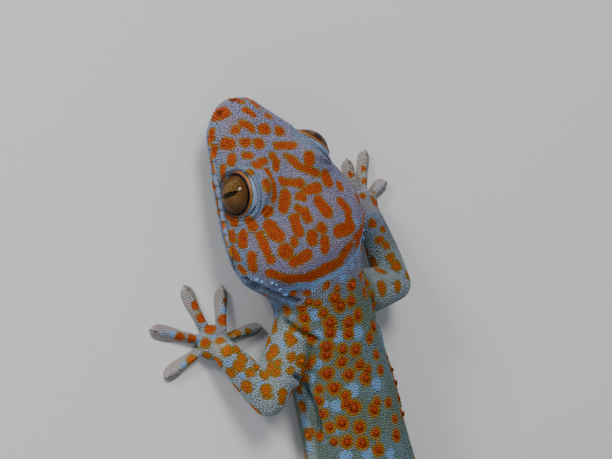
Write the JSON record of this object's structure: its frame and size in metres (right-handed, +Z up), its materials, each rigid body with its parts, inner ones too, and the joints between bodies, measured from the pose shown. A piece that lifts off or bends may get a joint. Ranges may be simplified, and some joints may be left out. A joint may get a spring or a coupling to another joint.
{
  "type": "tokay gecko",
  "caption": "Life-size still model of a tokay gecko lying on its belly, head turned to its left, toes spread, tail in a gentle curve.",
  "frame": {"origin": "on the floor, under the middle of the whole box", "axes": "+Y towards the tail, +X to the animal's left, +Z up"},
  "size_m": [0.103, 0.2894, 0.0206],
  "materials": {
    "head_skin": "matte scaled skin, lavender grey with orange spots",
    "body_skin": "matte scaled skin, grey green blue with red-orange tubercles and pale spots",
    "leg_skin": "matte scaled skin, pale blue grey with orange spots",
    "foot_skin": "soft satin toe pads, pinkish beige",
    "eye": "wet gloss, golden brown iris with a dark slit pupil"
  },
  "bodies": {
    "root": {"head": "head_skin", "eye_left": "eye", "eye_right": "eye", "neck": "body_skin", "torso": "body_skin", "tail_base": "body_skin", "tail_middle": "body_skin", "tail_tip": "body_skin", "foreleg_left_upper": "leg_skin", "foreleg_left_lower": "leg_skin", "forefoot_left": "foot_skin", "foreleg_right_upper": "leg_skin", "foreleg_right_lower": "leg_skin", "forefoot_right": "foot_skin", "hindleg_left_upper": "leg_skin", "hindleg_left_lower": "leg_skin", "hindfoot_left": "foot_skin", "hindleg_right_upper": "leg_skin", "hindleg_right_lower": "leg_skin", "hindfoot_right": "foot_skin"}
  },
  "joints": []
}
